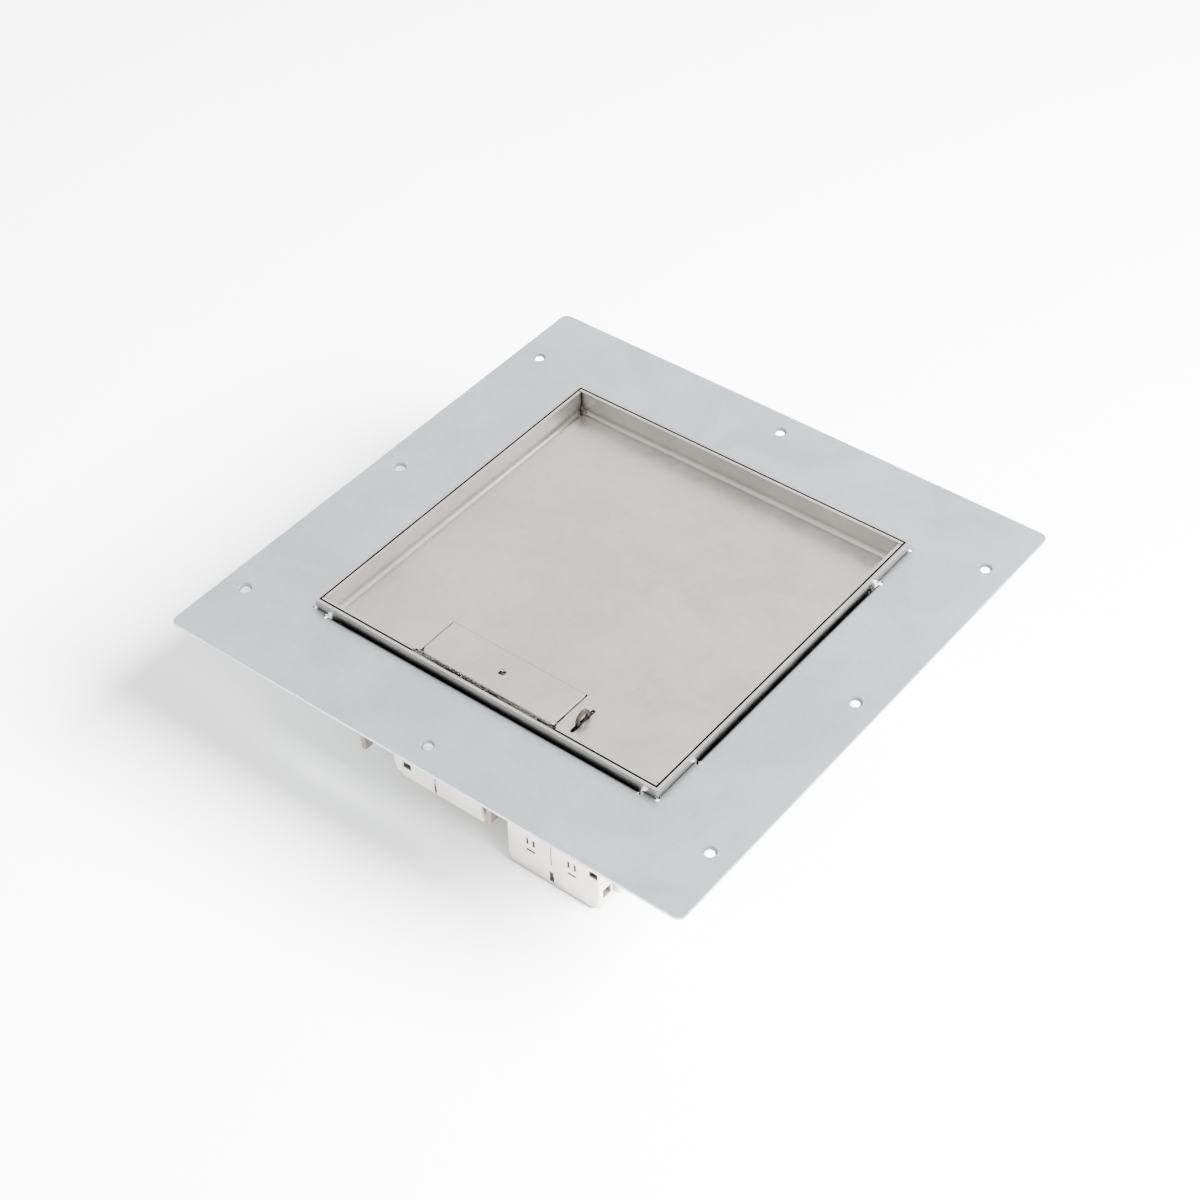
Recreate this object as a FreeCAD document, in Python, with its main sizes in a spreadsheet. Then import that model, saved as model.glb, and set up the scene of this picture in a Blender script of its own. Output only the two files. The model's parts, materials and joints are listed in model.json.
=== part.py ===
import FreeCAD, Part
import os
import re
import Sketcher
from FreeCAD import Vector

# Floor socket box for an inlaid floor: a zinc plated mounting plate with a folded collar, a stainless
# frame with a tray lid that takes the floor covering, and four earthed socket units on a carrier below.
# +Z is up. The origin is at the bottom centre, under the socket units. The lid hinges at the +Y side
# and the cable outlet is at the -Y side. All sizes are in millimetres and degrees.

driving = {
    # mounting plate
    "plate_side": 300, "plate_wall": 1.5, "plate_corner": 4, "hole_inset": 12.5, "corner_inset": 38,
    "hole_bore": 4.5, "hole_mouth": 6.8, "long_inset": 8, "short_inset": 28, "flange_drop": 25,
    "flange_gap": 0.7, "plate_bend": 1.8, "relief_bore": 2.6, "frame_fit": 0.2, "bend_lap": 0.5,
    # lid frame
    "clear_width": 200, "frame_wall": 1.5, "frame_depth": 40, "rim_rise": 5, "frame_corner": 1.2,
    # lid tray
    "lid_gap": 1, "lid_wall": 1.5, "tray_depth": 12.5, "tray_bend": 2.5, "seam_gap": 0.5,
    "corner_relief": 5, "pivot_bore": 4.1, "pivot_pin": 4, "pivot_back": 8, "pivot_drop": 3.5,
    "pivot_reach": 2.1,
    # cable outlet and its flap; lands are measured in from the front of the tray
    "outlet_left": 48, "notch_half": 42.5, "lip_land": 9.5, "lip_corner": 3, "relief_left": 50.5,
    "relief_land": 7, "outlet_relief": 2.2, "flap_right": 32.5, "flap_slit": 1, "flap_land": 10.7,
    "flap_long": 24.1, "flap_gap": 0.15, "flap_corner": 4, "flap_hole": 4,
    "stop_step": 15.8, "stop_wide": 5, "stop_lap": 2.5, "stop_play": 0.1,
    # flap hinge and its spring
    "knuckle_size": 3.8, "hinge_pin": 2, "pin_play": 0.05, "leaf_wall": 1, "leaf_wide": 9,
    "knuckle_long": 11, "knuckle_gap": 0.3, "spring_wire": 0.7, "spring_coil": 3.2, "spring_pitch": 1,
    "spring_turns": 5, "spring_arm": 9, "spring_seat": 7,
    # sliding latch with its lifting ring
    "ring_x": 41.7, "ring_land": 20.5, "ring_size": 9.5, "ring_eye": 5.4, "ring_lift": 1.8,
    "latch_wall": 1.5, "latch_wide": 13, "latch_long": 35.7, "latch_inset": 0.3, "latch_play": 0.3,
    "slot_wide": 2.1, "slot_long": 15.4, "guide_wall": 1, "guide_wide": 6, "guide_foot": 4,
    "guide_land": 10, "guide_step": 20, "keeper_play": 0.8,
    # lid supports
    "support_wall": 1.5, "support_wide": 20, "support_reach": 10, "support_drop": 12,
    "support_inset": 22,
    # screws and nuts
    "screw_bore": 4.3, "screw_shank": 4, "head_size": 7.6, "head_high": 2.4, "nut_size": 7,
    "nut_high": 3.2, "screw_x": 55, "screw_y": 50, "screw_drop": 16, "tail_out": 1.5,
    # socket carrier and its hangers
    "carrier_drop": 60, "carrier_wall": 1.5, "carrier_play": 0.5, "carrier_lip": 8, "way_long": 120,
    "way_wide": 34, "hanger_wall": 1.5, "hanger_wide": 16, "hanger_inset": 16, "hanger_drop": 28,
    "hanger_head": 8, "hanger_foot": 13, "foot_screw": 6.5,
    # socket units
    "unit_long": 57, "unit_wide": 50, "unit_gap": 15, "row_shift": 1.5, "unit_room": 1,
    "socket_depth": 46, "short_depth": 30, "unit_nose": 4, "nose_half": 15, "nose_round": 2.5,
    "end_round": 2, "toe_round": 8, "face_long": 54, "face_wide": 48, "face_high": 4,
    "face_corner": 4, "face_edge": 0.5, "recess_size": 39, "recess_deep": 17.5, "cup_wall": 2,
    "cup_play": 0.3, "pin_pitch": 19, "pin_bore": 5, "sleeve_size": 7.4, "sleeve_long": 13.5,
    "sleeve_play": 0.2, "clip_wide": 5, "clip_wall": 0.8, "clip_bend": 3, "clip_play": 0.2,
    "mid_screw": 3.4, "mid_head": 6.6, "mid_high": 1.6, "mid_edge": 0.4,
    # marks, catches and ports moulded into the units
    "seam_wide": 0.7, "seam_deep": 0.6, "seam_step": 8, "mark_wide": 1.4, "mark_high": 4.5,
    "mark_gap": 3.8, "mark_deep": 2, "mark_drop": 21, "mark_step": 25, "mark_shift": 1,
    "catch_wide": 2.8, "catch_high": 7, "catch_foot": 3, "entry_size": 6, "entry_foot": 9.5,
    "port_wide": 5, "port_high": 4, "port_drop": 22.5, "port_end": 4,
    # cable clamps
    "clamp_wall": 2.5, "clamp_wide": 12, "clamp_drop": 26, "clamp_foot": 6, "clamp_inset": 18,
    "clamp_in": 1.25, "tie_wide": 4.5, "tie_high": 1.6, "tie_foot": 4,
    # earth tag
    "tag_wall": 0.8, "tag_wide": 6.3, "tag_long": 12, "tag_foot": 4, "tag_bore": 1.6, "tag_inset": 3,
}

doc = FreeCAD.newDocument("floor_socket_box")
sheet = doc.addObject("Spreadsheet::Sheet", "sizes")
for row, (name, value) in enumerate(driving.items(), start=1):
    sheet.set("A%d" % row, name)
    sheet.set("B%d" % row, str(value))
    sheet.setAlias("B%d" % row, name)
doc.recompute()

# Levels and faces that many pieces share, worked out from the driving sizes.
carrier_under = "socket_depth"
carrier_top = "(socket_depth + carrier_wall)"
plate_top = "(socket_depth + carrier_wall + carrier_drop)"
rim = f"({plate_top} + rim_rise)"
tray_floor = f"({rim} - tray_depth)"
tray_under = f"({tray_floor} - lid_wall)"
frame_low = f"({rim} - frame_depth)"
frame_in = "(clear_width / 2)"
frame_out = "(clear_width / 2 + frame_wall)"
flange_in = "(clear_width / 2 + frame_wall + flange_gap)"
flange_out = "(clear_width / 2 + frame_wall + flange_gap + plate_wall)"
tray_out = "(clear_width / 2 - lid_gap)"
tray_in = "(clear_width / 2 - lid_gap - lid_wall)"
long_flange = "(clear_width - 2 * long_inset)"
short_flange = "(clear_width - 2 * short_inset)"
pivot_y = f"({tray_out} - pivot_back)"
pivot_z = f"({rim} - pivot_drop)"
lip_front = f"({tray_out} - lip_land)"
relief_front = f"({tray_out} - relief_land)"
flap_front = f"({tray_out} - flap_land)"
flap_back = f"({flap_front} - flap_long)"
hinge_y = f"(flap_gap / 2 - {flap_back})"
hinge_z = f"({tray_under} - knuckle_size / 2 - latch_play)"
latch_top = f"({tray_under} - latch_play)"
latch_low = f"({tray_under} - latch_play - latch_wall)"
screw_z = f"({plate_top} - screw_drop)"
ring_y = f"({tray_out} - ring_land)"
latch_tip = f"({tray_out} - latch_inset)"
latch_left = "(ring_x - latch_wall / 2)"
guide_front = f"({tray_out} - guide_land)"
guide_rear = f"({guide_front} - guide_step)"
hanger_y = f"({frame_in} - hanger_inset)"
hanger_z = f"({plate_top} - hanger_drop)"
foot_x = f"({frame_in} - hanger_foot + foot_screw - hanger_wall)"
unit_x = "((unit_long + unit_gap) / 2)"
unit_y = f"({frame_in} - unit_room - unit_wide / 2)"
cup_room = "(recess_size / 2 + cup_wall + cup_play)"
cup_floor = "(carrier_wall + face_high - recess_deep - cup_wall)"
spring_start = "((flap_right - outlet_left) / 2 + 2.5 * (knuckle_long + knuckle_gap) + 1)"
finished = []


def tied(text):
    """An expression text with each size name pointed at its cell."""
    return re.sub(r"[a-z]+(?:_[a-z]+)*(?!\w|\()", lambda word: "sizes." + word[0], str(text))


def size(name):
    return float(sheet.get(name))


def bind(thing, **settings):
    for setting, text in settings.items():
        thing.setExpression(setting.replace("__", "."), tied(text))


def keep(thing, label):
    """Labels a finished sub-part; the label names its file."""
    thing.Label = label
    finished.append(thing)
    return thing


def new_body(label):
    body = doc.addObject("PartDesign::Body", label + "_body")
    body.AllowCompound = True
    return keep(body, label)


def new_sketch(body, role, height="0"):
    plane = next(item for item in body.Origin.OriginFeatures if item.Role == role)
    sketch = body.newObject("Sketcher::SketchObject", "outline")
    sketch.AttachmentSupport = [(plane, "")]
    sketch.MapMode = "FlatFace"
    bind(sketch, AttachmentOffset__Base__z=height)
    return sketch


def hold(sketch, kind, *ends, text):
    number = sketch.addConstraint(Sketcher.Constraint(kind, *ends, 1.0))
    sketch.setExpression("Constraints[%d]" % number, tied(text))


def polygon(sketch, corners):
    """A closed outline; each corner is a pair of size texts."""
    first = sketch.GeometryCount
    count = len(corners)
    spread = [Vector(10, 0, 0), Vector(10, 10, 0), Vector(0, 10, 0), Vector(-10, 10, 0)]
    for index in range(count):
        start = spread[index % 4] * (1 + index)
        end = spread[(index + 1) % 4] * (2 + index)
        sketch.addGeometry(Part.LineSegment(start, end), False)
    for index, (across, along) in enumerate(corners):
        line, after = first + index, first + (index + 1) % count
        sketch.addConstraint(Sketcher.Constraint("Coincident", line, 2, after, 1))
        hold(sketch, "DistanceX", -1, 1, line, 1, text=across)
        hold(sketch, "DistanceY", -1, 1, line, 1, text=along)


def oblong(sketch, left, right, low, high):
    polygon(sketch, [(left, low), (right, low), (right, high), (left, high)])


def circle(sketch, across, along, radius):
    number = sketch.addGeometry(Part.Circle(Vector(5, 5, 0), Vector(0, 0, 1), 2), False)
    hold(sketch, "DistanceX", -1, 1, number, 3, text=across)
    hold(sketch, "DistanceY", -1, 1, number, 3, text=along)
    hold(sketch, "Radius", number, text=radius)


def pad(body, sketch, length, back=False):
    feature = body.newObject("PartDesign::Pad", "pad")
    feature.Profile = sketch
    feature.Reversed = back
    bind(feature, Length=length)
    doc.recompute()
    return feature


def cut(body, sketch, length="", back=False, both=False):
    """A pocket of a length, or right through where none is given."""
    before = body.Shape.Volume
    feature = body.newObject("PartDesign::Pocket", "pocket")
    feature.Profile = sketch
    feature.Reversed = back
    if length:
        bind(feature, Length=length)
    else:
        feature.Type = "ThroughAll"
        feature.Midplane = both
    doc.recompute()
    if not body.Shape.Volume < before - 1e-6:
        raise RuntimeError("a pocket in %s cut nothing" % body.Label)
    return feature


def dress(body, kind, radius, pick):
    """Rounds or chamfers the edges that pick accepts."""
    base = body.Tip
    names = ["Edge%d" % (i + 1) for i, edge in enumerate(base.Shape.Edges) if pick(edge)]
    if not names:
        raise RuntimeError("no edge to dress on %s" % body.Label)
    feature = body.newObject("PartDesign::" + kind, kind.lower())
    feature.Base = (base, names)
    bind(feature, **{"Radius" if kind == "Fillet" else "Size": radius})
    doc.recompute()
    return feature


def runs_along(edge, axis):
    if edge.Curve.TypeId != "Part::GeomLine":
        return False
    return abs(getattr(edge.tangentAt(edge.FirstParameter), axis)) > 0.999


def near(value, target):
    return abs(value - target) < 1e-3


def block(left, right, front, rear, low, high):
    """A plain box between size texts."""
    box = doc.addObject("Part::Box", "block")
    bind(box, Length=f"({right}) - ({left})", Width=f"({rear}) - ({front})", Height=f"({high}) - ({low})")
    bind(box, Placement__Base__x=left, Placement__Base__y=front, Placement__Base__z=low)
    return box


def rod(x, y, z, radius, length, axis, hexagonal=False):
    """A cylinder or hexagon bar that starts at a point and runs along X, Y or Z."""
    turn = {"x": (Vector(0, 1, 0), 90), "y": (Vector(1, 0, 0), -90), "z": (Vector(0, 0, 1), 0)}[axis]
    bar = doc.addObject("Part::Prism" if hexagonal else "Part::Cylinder", "rod")
    bar.Placement = FreeCAD.Placement(Vector(), FreeCAD.Rotation(*turn))
    if hexagonal:
        bar.Polygon = 6
        bind(bar, Circumradius=f"({radius}) / cos(30)", Height=length)
    else:
        bind(bar, Radius=radius, Height=length)
    bind(bar, Placement__Base__x=x, Placement__Base__y=y, Placement__Base__z=z)
    return bar


def joined(label, shapes, removed=()):
    """Shapes fused into one piece, with others cut out of it."""
    whole = doc.addObject("Part::MultiFuse", "joined")
    whole.Shapes = shapes
    whole.Refine = True
    for tool in removed:
        less = doc.addObject("Part::Cut", "less")
        less.Base, less.Tool = whole, tool
        whole = less
    doc.recompute()
    return keep(whole, label)


def mounting_plate():
    body = new_body("mounting_plate")
    half = "plate_side / 2"
    sketch = new_sketch(body, "XY_Plane", f"{plate_top} - plate_wall")
    oblong(sketch, f"0 - {half}", half, f"0 - {half}", half)
    pad(body, sketch, "plate_wall")
    dress(body, "Fillet", "plate_corner", lambda edge: runs_along(edge, "z"))
    plate_window(body)
    collar_flanges(body)
    plate_holes(body)


def plate_window(body):
    """The window meets the frame at its corners and steps back to the flanges along each side."""
    fit, face = f"{frame_out} + frame_fit", f"{flange_in} + plate_bend + bend_lap"
    long_end, short_end = f"{long_flange} / 2 + relief_bore / 2", f"{short_flange} / 2 + relief_bore / 2"
    quarter = [(long_end, face), (long_end, fit), (fit, fit), (fit, short_end), (face, short_end)]
    corners = []
    for signs in ((1, 1), (1, -1), (-1, -1), (-1, 1)):
        points = [(f"{signs[0]} * ({x})", f"{signs[1]} * ({y})") for x, y in quarter]
        corners += points if signs[0] == signs[1] else points[::-1]
    sketch = new_sketch(body, "XY_Plane", plate_top)
    polygon(sketch, corners)
    cut(body, sketch)


def collar_flanges(body):
    """Four flanges folded down beside the frame, with round reliefs at the ends of each fold."""
    low, under = f"{plate_top} - flange_drop", f"{plate_top} - plate_wall"
    for side in (-1, 1):
        near_face, far_face = f"{side} * {flange_in}", f"{side} * {flange_out}"
        root = f"{side} * ({flange_in} + plate_bend + bend_lap)"
        for role, length in (("YZ_Plane", long_flange), ("XZ_Plane", short_flange)):
            sketch = new_sketch(body, role, f"0 - {length} / 2")
            polygon(sketch, [(root, plate_top), (near_face, plate_top), (near_face, low), (far_face, low),
                             (far_face, under), (root, under)])
            pad(body, sketch, length)
    top = size("socket_depth") + size("carrier_wall") + size("carrier_drop")
    half = size("clear_width") / 2 + size("frame_wall") + size("flange_gap")

    def fold(edge, drop, out):
        if not (runs_along(edge, "x") or runs_along(edge, "y")):
            return False
        box = edge.BoundBox
        offset = abs(box.YMin) if runs_along(edge, "x") else abs(box.XMin)
        return near(box.ZMax, top - drop) and near(offset, half + out)

    dress(body, "Fillet", "plate_bend", lambda edge: fold(edge, 0, 0))
    wall = size("plate_wall")
    dress(body, "Fillet", "plate_bend - plate_wall", lambda edge: fold(edge, wall, wall))
    sketch = new_sketch(body, "XY_Plane", f"{plate_top} + 1")
    middle = f"{flange_in} + plate_bend / 2"
    for x in (-1, 1):
        for y in (-1, 1):
            circle(sketch, f"{x} * ({long_flange} / 2 + relief_bore / 2)", f"{y} * ({middle})", "relief_bore / 2")
            circle(sketch, f"{x} * ({middle})", f"{y} * ({short_flange} / 2 + relief_bore / 2)", "relief_bore / 2")
            circle(sketch, f"{x} * ({frame_out})", f"{y} * ({frame_out})", "relief_bore / 2")
    cut(body, sketch, "flange_drop + 2")


def plate_holes(body):
    """Eight countersunk fixing holes, and clearance holes for the screws through the flanges."""
    edge_line = "plate_side / 2 - hole_inset"
    corner_line = "(plate_side / 2 - corner_inset)"
    spots = [(f"{x} * ({edge_line})", f"{y} * {corner_line}") for x in (-1, 1) for y in (-1, 0, 1)]
    spots += [("0", f"{y} * ({edge_line})") for y in (-1, 1)]
    sketch = new_sketch(body, "XY_Plane", plate_top)
    for across, along in spots:
        circle(sketch, across, along, "hole_bore / 2")
    cut(body, sketch)
    top = body.Shape.BoundBox.ZMax

    def mouth(edge):
        round_edge = edge.Curve.TypeId == "Part::GeomCircle" and near(edge.Curve.Radius, size("hole_bore") / 2)
        return round_edge and near(edge.BoundBox.ZMin, top)

    dress(body, "Chamfer", "(hole_mouth - hole_bore) / 2", mouth)
    flange_holes(body)


def flange_holes(body):
    for role, place in (("XZ_Plane", "screw_x"), ("YZ_Plane", "screw_y")):
        sketch = new_sketch(body, role)
        for side in (-1, 1):
            circle(sketch, f"{side} * {place}", screw_z, "screw_bore / 2")
        cut(body, sketch, both=True)


def lid_frame():
    """A square stainless ring; its rim stands above the plate and the lid tray sinks into it."""
    body = new_body("lid_frame")
    sketch = new_sketch(body, "XY_Plane", frame_low)
    for half in (frame_out, frame_in):
        oblong(sketch, f"0 - {half}", half, f"0 - {half}", half)
    pad(body, sketch, "frame_depth")
    outer = size("clear_width") / 2 + size("frame_wall")
    dress(body, "Fillet", "frame_corner",
          lambda edge: runs_along(edge, "z") and near(abs(edge.BoundBox.XMax), outer))
    flange_holes(body)
    sketch = new_sketch(body, "YZ_Plane")
    for side in (-1, 1):
        circle(sketch, f"{side} * {hanger_y}", hanger_z, "screw_bore / 2")
    cut(body, sketch, both=True)
    for side in (-1, 1):
        sketch = new_sketch(body, "YZ_Plane", f"{side} * {frame_in}")
        circle(sketch, pivot_y, pivot_z, "pivot_bore / 2")
        cut(body, sketch, "pivot_reach - lid_gap + 0.1", back=side > 0)
    sketch = new_sketch(body, "XZ_Plane")
    left, right = "ring_x - latch_wall / 2", "ring_x - latch_wall / 2 + latch_wide"
    oblong(sketch, f"{left} - keeper_play", f"{right} + keeper_play",
           f"{latch_low} - keeper_play", f"{latch_top} + keeper_play")
    cut(body, sketch, back=True)


def lid_tray():
    """A folded tray with open corners, an outlet cut through its front wall and a slot for the ring."""
    body = new_body("lid_tray")
    sketch = new_sketch(body, "XY_Plane", tray_under)
    oblong(sketch, f"0 - {tray_out}", tray_out, f"0 - {tray_out}", tray_out)
    pad(body, sketch, "tray_depth + lid_wall")
    low = body.Shape.BoundBox.ZMin
    dress(body, "Fillet", "tray_bend + lid_wall", lambda edge: near(edge.BoundBox.ZMax, low))
    sketch = new_sketch(body, "XY_Plane", rim)
    oblong(sketch, f"0 - {tray_in}", tray_in, f"0 - {tray_in}", tray_in)
    cut(body, sketch, "tray_depth")
    foot = low + size("lid_wall")
    dress(body, "Fillet", "tray_bend",
          lambda edge: near(edge.BoundBox.ZMax, foot) and near(edge.BoundBox.ZMin, foot))
    tray_corners(body)
    tray_outlet(body)


def tray_corners(body):
    """Each corner stays open: a narrow seam beside the end wall and a round relief at its foot."""
    sketch = new_sketch(body, "XY_Plane", f"{rim} + 1")
    for x in (-1, 1):
        for y in (-1, 1):
            oblong(sketch, f"{x} * ({tray_in} - 1)", f"{x} * ({tray_out} + 1)",
                   f"{y} * ({tray_in} - seam_gap)", f"{y} * {tray_in}")
    cut(body, sketch, "tray_depth + 1 - tray_bend")
    sketch = new_sketch(body, "XY_Plane", f"{tray_under} - 1")
    middle = f"({tray_in} - tray_bend / 2)"
    for x in (-1, 1):
        for y in (-1, 1):
            circle(sketch, f"{x} * {middle}", f"{y} * {middle}", "corner_relief / 2")
    cut(body, sketch, "lid_wall + 1 + tray_bend", back=True)


def tray_outlet(body):
    """A notch through the front wall and the flap's opening behind it, with a short lip beside the flap.

    The opening runs on a little way along the fold past the notch's left end, as a fold relief."""
    out, slit, back = f"(0 - {tray_out} - 1)", "flap_right + flap_slit", f"flap_gap - {flap_back}"
    sketch = new_sketch(body, "XY_Plane", rim)
    polygon(sketch, [("0 - notch_half", out), ("notch_half", out), ("notch_half", f"0 - {lip_front}"),
                     (slit, f"0 - {lip_front}"), (slit, back), ("0 - outlet_left", back),
                     ("0 - outlet_left", f"0 - {flap_front}"), ("0 - relief_left", f"0 - {flap_front}"),
                     ("0 - relief_left", f"0 - {relief_front}"), ("0 - notch_half", f"0 - {relief_front}")])
    cut(body, sketch)
    lip = (size("flap_right") + size("flap_slit"),
           size("lip_land") + size("lid_gap") - size("clear_width") / 2)
    dress(body, "Fillet", "lip_corner", lambda edge: runs_along(edge, "z")
          and near(edge.BoundBox.XMax, lip[0]) and near(edge.BoundBox.YMax, lip[1]))
    openings = [("0 - outlet_left", f"0 - {flap_front}", "outlet_relief / 2")]
    openings += [("ring_x", f"{side} * slot_long / 2 - {ring_y}", "slot_wide / 2") for side in (-1, 1)]
    for across, along, radius in openings:
        sketch = new_sketch(body, "XY_Plane", f"{tray_floor} + 1")
        circle(sketch, across, along, radius)
        cut(body, sketch, "lid_wall + 2")
    sketch = new_sketch(body, "XY_Plane", f"{tray_floor} + 1")
    oblong(sketch, "ring_x - slot_wide / 2", "ring_x + slot_wide / 2",
           f"0 - {ring_y} - slot_long / 2", f"slot_long / 2 - {ring_y}")
    cut(body, sketch, "lid_wall + 2")


def pivot_studs():
    """Short studs welded to the tray's side walls; they turn in holes in the frame."""
    for name, start in (("west", f"0 - {tray_out} - pivot_reach"), ("east", tray_out)):
        stud = rod(start, pivot_y, pivot_z, "pivot_pin / 2", "pivot_reach", "x")
        keep(stud, "lid_pivot_" + name)


def cable_flap():
    body = new_body("cable_flap")
    left = "flap_gap - outlet_left"
    sketch = new_sketch(body, "XY_Plane", tray_under)
    oblong(sketch, left, "flap_right", f"0 - {flap_front}", f"0 - {flap_back}")
    pad(body, sketch, "lid_wall")
    front = body.Shape.BoundBox.YMin
    dress(body, "Fillet", "flap_corner",
          lambda edge: runs_along(edge, "z") and near(edge.BoundBox.YMax, front))
    top = body.Shape.BoundBox.ZMax
    dress(body, "Fillet", "lid_wall / 3", lambda edge: near(edge.BoundBox.ZMin, top)
          and near(edge.BoundBox.YMin, front) and runs_along(edge, "x"))
    sketch = new_sketch(body, "XY_Plane", f"{tray_under} + lid_wall")
    circle(sketch, "(flap_right - outlet_left) / 2", f"0 - ({flap_front} + {flap_back}) / 2", "flap_hole / 2")
    cut(body, sketch)


def flap_stop():
    """A strip welded under the flap; its ends reach under the tray and stop the closing flap."""
    rear, low = f"(0 - {flap_back} - stop_step)", f"{tray_under} - lid_wall"
    front = f"{rear} - stop_wide"
    middle = block("0 - outlet_left + flap_gap", "flap_right", front, rear, low, tray_under)
    ends = block("0 - outlet_left - stop_lap", "flap_right + flap_slit + stop_lap", front, rear, low,
                 f"{tray_under} - stop_play")
    joined("flap_stop_strip", [middle, ends])


def flap_hinge():
    """Two leaves whose knuckles alternate along one pin, under the back edge of the flap."""
    middle = "(flap_right - outlet_left) / 2"
    step = "(knuckle_long + knuckle_gap)"
    leaves = (("flap_hinge_leaf", (-1, 1), -1), ("tray_hinge_leaf", (-2, 0, 2), 1))
    for label, places, side in leaves:
        solids = []
        for place in places:
            start = f"{middle} + {place} * {step} - knuckle_long / 2"
            solids.append(rod(start, hinge_y, hinge_z, "knuckle_size / 2", "knuckle_long", "x"))
            web = leaf_span(side, "knuckle_size / 5", "knuckle_size / 2 + leaf_wall")
            solids.append(block(start, f"{start} + knuckle_long", *web, hinge_z, tray_under))
        first = f"{middle} - 2.5 * {step}"
        leaf = leaf_span(side, "knuckle_size / 2 + leaf_wall / 2", "leaf_wide")
        solids.append(block(first, f"{first} + 5 * {step}", *leaf, f"{tray_under} - leaf_wall", tray_under))
        bore = rod(f"{middle} - 4 * {step}", hinge_y, hinge_z, "hinge_pin / 2 + pin_play", f"8 * {step}", "x")
        joined(label, solids, [bore])
    pin = rod(f"{middle} - 2.5 * {step}", hinge_y, hinge_z, "hinge_pin / 2", f"5 * {step} + spring_seat", "x")
    keep(pin, "flap_hinge_pin")


def flap_spring():
    """A close coil round the end of the hinge pin, with one arm under the tray and one under the flap."""
    start, turns = spring_start, int(size("spring_turns"))
    last = f"{turns - 1} * spring_pitch"
    coil = [rod(start, hinge_y, hinge_z, "spring_coil / 2", f"{last} + spring_wire", "x")]
    for turn in range(turns):
        coil.append(rod(f"{start} + {turn} * spring_pitch", hinge_y, hinge_z, "(spring_coil + spring_wire) / 2",
                        "spring_wire", "x"))
    arm = "0.45 * spring_wire"
    height, middle = f"({tray_under} - {arm})", f"{start} + spring_wire / 2"
    coil.append(rod(middle, hinge_y, height, arm, "spring_arm", "y"))
    coil.append(rod(f"{middle} + {last}", f"{hinge_y} - spring_arm", height, arm, "spring_arm", "y"))
    bore = rod(f"{start} - 1", hinge_y, hinge_z, "(spring_coil - spring_wire) / 2", f"{last} + 3", "x")
    joined("flap_spring", coil, [bore])


def leaf_span(side, start, end):
    """The front and rear of a part that lies on one side of the flap's hinge line."""
    if side < 0:
        return f"{hinge_y} - ({end})", f"{hinge_y} - ({start})"
    return f"{hinge_y} + ({start})", f"{hinge_y} + ({end})"


def lid_latch():
    """A flat bolt under the tray, and the ring welded on it that stands up through the slot."""
    body = new_body("latch_bolt")
    left, tail = latch_left, f"latch_long - {latch_tip}"
    sketch = new_sketch(body, "XY_Plane", latch_low)
    oblong(sketch, left, f"{left} + latch_wide", f"0 - {latch_tip}", tail)
    pad(body, sketch, "latch_wall")
    tip = body.Shape.BoundBox.YMin
    dress(body, "Fillet", "latch_wall", lambda edge: runs_along(edge, "z") and near(edge.BoundBox.YMin, tip))
    body = new_body("latch_ring")
    ring_z = f"({tray_floor} + ring_lift)"
    sketch = new_sketch(body, "YZ_Plane", left)
    oblong(sketch, f"0 - {ring_y} - ring_size / 2", f"ring_size / 2 - {ring_y}", latch_top, ring_z)
    pad(body, sketch, "latch_wall")
    sketch = new_sketch(body, "YZ_Plane", left)
    circle(sketch, f"0 - {ring_y}", ring_z, "ring_size / 2")
    pad(body, sketch, "latch_wall")
    sketch = new_sketch(body, "YZ_Plane", f"{left} - 1")
    oblong(sketch, f"0 - {ring_y} - ring_size", f"ring_size - {ring_y}", f"{latch_top} - ring_size", latch_top)
    cut(body, sketch, "latch_wall + 2", back=True)
    sketch = new_sketch(body, "YZ_Plane", f"{left} - 1")
    circle(sketch, f"0 - {ring_y}", ring_z, "ring_eye / 2")
    cut(body, sketch, "latch_wall + 2", back=True)


def latch_guides():
    """Two bridges welded under the tray; the latch slides between them and the tray."""
    left = "(ring_x - latch_wall / 2 - latch_play)"
    right = "(ring_x - latch_wall / 2 + latch_wide + latch_play)"
    under = f"({latch_low} - latch_play)"
    for name, place in (("front", guide_front), ("rear", guide_rear)):
        front, rear = f"0 - {place}", f"guide_wide - {place}"
        solids = [block(f"{left} - guide_wall", f"{right} + guide_wall", front, rear,
                        f"{under} - guide_wall", under)]
        for wall, foot in ((f"{left} - guide_wall", f"{left} - guide_foot"), (right, f"{right} + guide_wall")):
            solids.append(block(wall, f"{wall} + guide_wall", front, rear, under, tray_under))
            solids.append(block(foot, f"{foot} + guide_foot - guide_wall", front, rear,
                                f"{tray_under} - guide_wall", tray_under))
        joined("latch_guide_" + name, solids)


def lid_supports():
    """Angle tabs inside the frame that the closed tray rests on; none at the hinged side."""
    half, face = "support_wide / 2", frame_in
    ledge, heel = f"{tray_under} - support_wall", f"{tray_under} - support_drop"
    for name, x in (("south_west", f"(support_inset - {frame_in})"), ("south_east", f"({frame_in} - support_inset)")):
        upright = block(f"{x} - {half}", f"{x} + {half}", f"0 - {face}", f"support_wall - {face}", heel, tray_under)
        shelf = block(f"{x} - {half}", f"{x} + {half}", f"0 - {face}", f"support_reach - {face}", ledge, tray_under)
        joined("lid_support_" + name, [upright, shelf])
    for name, near_wall, reach in (("west", f"0 - {face}", f"0 - {face}"),
                                   ("east", f"{face} - support_wall", f"{face} - support_reach")):
        upright = block(near_wall, f"{near_wall} + support_wall", f"0 - {half}", half, heel, tray_under)
        shelf = block(reach, f"{reach} + support_reach", f"0 - {half}", half, ledge, tray_under)
        joined("lid_support_" + name, [upright, shelf])


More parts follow.
